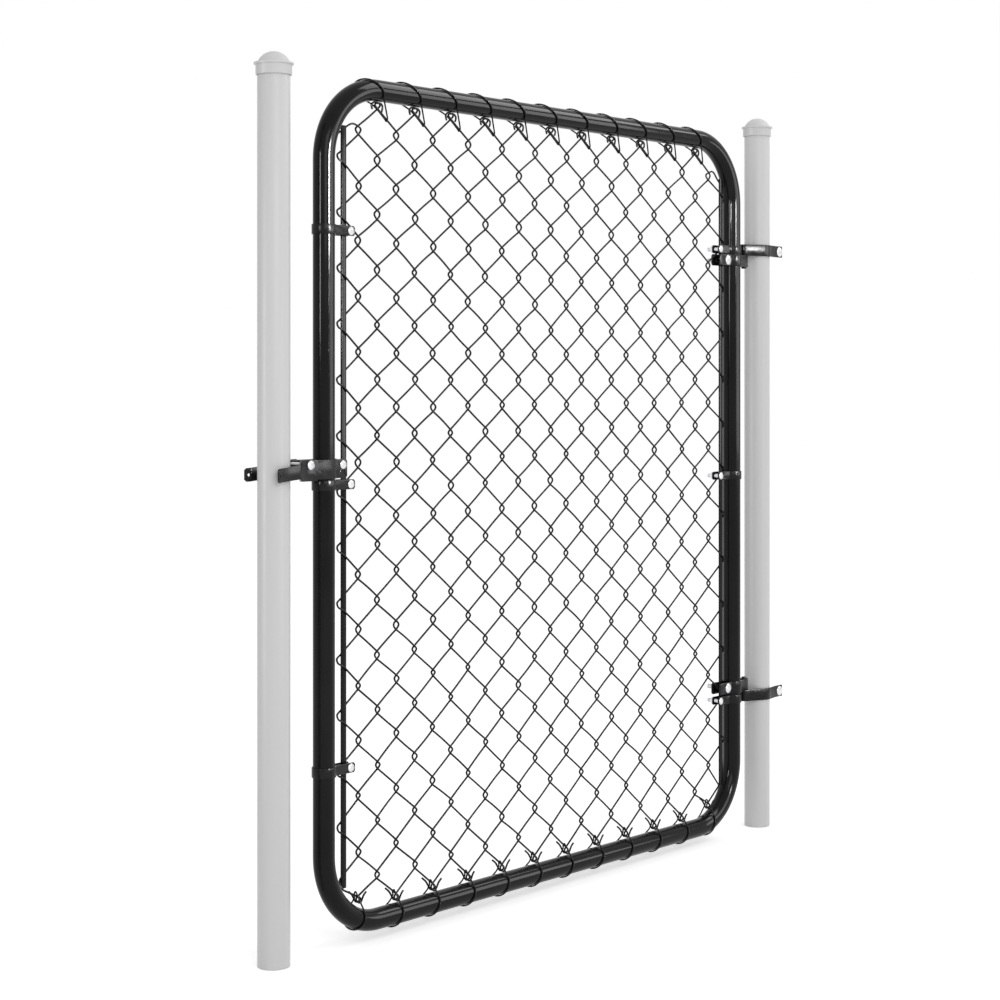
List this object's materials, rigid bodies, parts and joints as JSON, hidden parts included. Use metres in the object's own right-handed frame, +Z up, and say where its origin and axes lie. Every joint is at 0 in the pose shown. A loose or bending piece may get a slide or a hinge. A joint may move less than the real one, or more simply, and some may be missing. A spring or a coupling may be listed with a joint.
{
  "type": "chain link gate with posts",
  "caption": "Black chain link walk gate: bent tube frame with woven wire mesh, strap hinges and a fork latch, between two round posts.",
  "frame": {"origin": "centre of the hinge post's foot, at ground level", "axes": "+Z up, -X along the closed gate from the hinge post to the latch post, -Y out of the front that carries the bolt heads"},
  "size_m": [1.4284, 0.077, 1.4225],
  "materials": {
    "frame": "gloss black coat",
    "wire": "black coated wire",
    "fittings": "gloss black coat",
    "bolts": "bright zinc plate",
    "posts": "pale grey, satin"
  },
  "bodies": {
    "posts": {"hinge_post": "posts", "hinge_post_cap": "posts", "latch_post": "posts", "latch_post_cap": "posts", "top_post_hinge": "fittings", "top_post_hinge_bolt": "bolts", "bottom_post_hinge": "fittings", "bottom_post_hinge_bolt": "bolts"},
    "gate": {"gate_frame": "frame", "left_tension_bar": "fittings", "right_tension_bar": "fittings", "left_top_band": "fittings", "left_middle_band": "fittings", "left_bottom_band": "fittings", "right_top_band": "fittings", "right_middle_band": "fittings", "right_bottom_band": "fittings", "left_top_band_bolt": "bolts", "left_middle_band_bolt": "bolts", "left_bottom_band_bolt": "bolts", "right_top_band_bolt": "bolts", "right_middle_band_bolt": "bolts", "right_bottom_band_bolt": "bolts", "top_frame_hinge": "fittings", "top_frame_hinge_bolt": "bolts", "bottom_frame_hinge": "fittings", "bottom_frame_hinge_bolt": "bolts", "latch_clamp_front": "fittings", "latch_clamp_back": "fittings", "latch_clamp_bolt": "bolts", "latch_pivot_bolt": "bolts", "mesh_left": "wire", "mesh_mid_left": "wire", "mesh_mid_right": "wire", "mesh_right": "wire", "top_ties": "wire", "bottom_ties": "wire"},
    "fork": {"latch_fork": "fittings"}
  },
  "joints": [
    {"name": "gate_swing", "type": "hinge", "parent": "posts", "child": "gate", "pos_m": [-0.0476, 0, 0.711], "axis": [0, 0, 1], "range_deg": [-90, 90]},
    {"name": "fork_lift", "type": "hinge", "parent": "gate", "child": "fork", "pos_m": [-1.28295, 0, 0.765], "axis": [0, 1, 0], "range_deg": [0, 90]}
  ]
}
